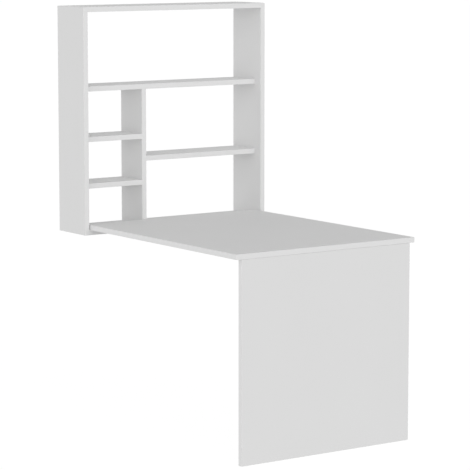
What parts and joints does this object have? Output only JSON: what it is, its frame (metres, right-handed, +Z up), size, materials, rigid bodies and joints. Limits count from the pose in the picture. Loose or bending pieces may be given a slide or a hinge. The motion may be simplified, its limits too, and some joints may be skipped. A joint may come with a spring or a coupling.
{
  "type": "secretary desk",
  "caption": "Wall-hung open shelf cabinet with divided cubbies, a full-depth tabletop that pivots up in front of it, and a folding panel leg.",
  "frame": {"origin": "on the floor, under the middle of the whole desk's box with the tabletop down and the leg standing", "axes": "+Z up, +Y to the wall that the cabinet hangs on, +X to the right of someone who faces the wall"},
  "size_m": [0.78, 1.081, 1.47],
  "materials": {
    "melamine_board": "white melamine-faced chipboard, satin, with a very fine pearl texture",
    "edging": "white edging strip, satin",
    "plated_steel": "zinc-plated steel",
    "hinge_steel": "nickel-plated steel, satin",
    "die_cast_zinc": "die-cast zinc, dull",
    "beech": "fluted beech, raw",
    "white_plastic": "moulded, matte",
    "nylon": "moulded nylon, slightly translucent white",
    "magnet": "nickel-plated magnet"
  },
  "bodies": {
    "cabinet": {"bay_shelf": "melamine_board", "bay_shelf_edging": "edging", "bottom_board": "melamine_board", "bottom_board_edging": "edging", "cabinet_magnets": "magnet", "cam_bolts": "plated_steel", "cam_covers": "white_plastic", "cams": "die_cast_zinc", "divider": "melamine_board", "divider_edging": "edging", "dowels": "beech", "left_side": "melamine_board", "left_side_edging": "edging", "long_shelf": "melamine_board", "long_shelf_edging": "edging", "lower_cubby_shelf": "melamine_board", "lower_cubby_shelf_edging": "edging", "pivot_bushes": "nylon", "right_side": "melamine_board", "right_side_edging": "edging", "top_board": "melamine_board", "top_board_edging": "edging", "upper_cubby_shelf": "melamine_board", "upper_cubby_shelf_edging": "edging", "wall_sleeves": "hinge_steel"},
    "tabletop": {"tabletop": "melamine_board", "tabletop_edging": "edging", "pivot_pins": "plated_steel", "table_magnets": "magnet", "magnet_plugs": "white_plastic", "hinge_table_leaves": "hinge_steel", "hinge_pins": "plated_steel", "hinge_table_screws": "plated_steel", "leg_catch_case": "white_plastic", "leg_catch_magnet": "magnet", "leg_catch_screws": "plated_steel"},
    "leg": {"leg_panel": "melamine_board", "leg_panel_edging": "edging", "hinge_leg_leaves": "hinge_steel", "hinge_leg_screws": "plated_steel", "leg_strike_plate": "hinge_steel", "leg_strike_screws": "plated_steel"}
  },
  "joints": [
    {"name": "table_fold", "type": "hinge", "parent": "cabinet", "child": "tabletop", "pos_m": [0, 0.3905, 0.6923], "axis": [-1, 0, 0], "range_deg": [0, 87.3]},
    {"name": "leg_fold", "type": "hinge", "parent": "tabletop", "child": "leg", "pos_m": [0, -0.5195, 0.6803], "axis": [1, 0, 0], "range_deg": [0, 90]}
  ]
}
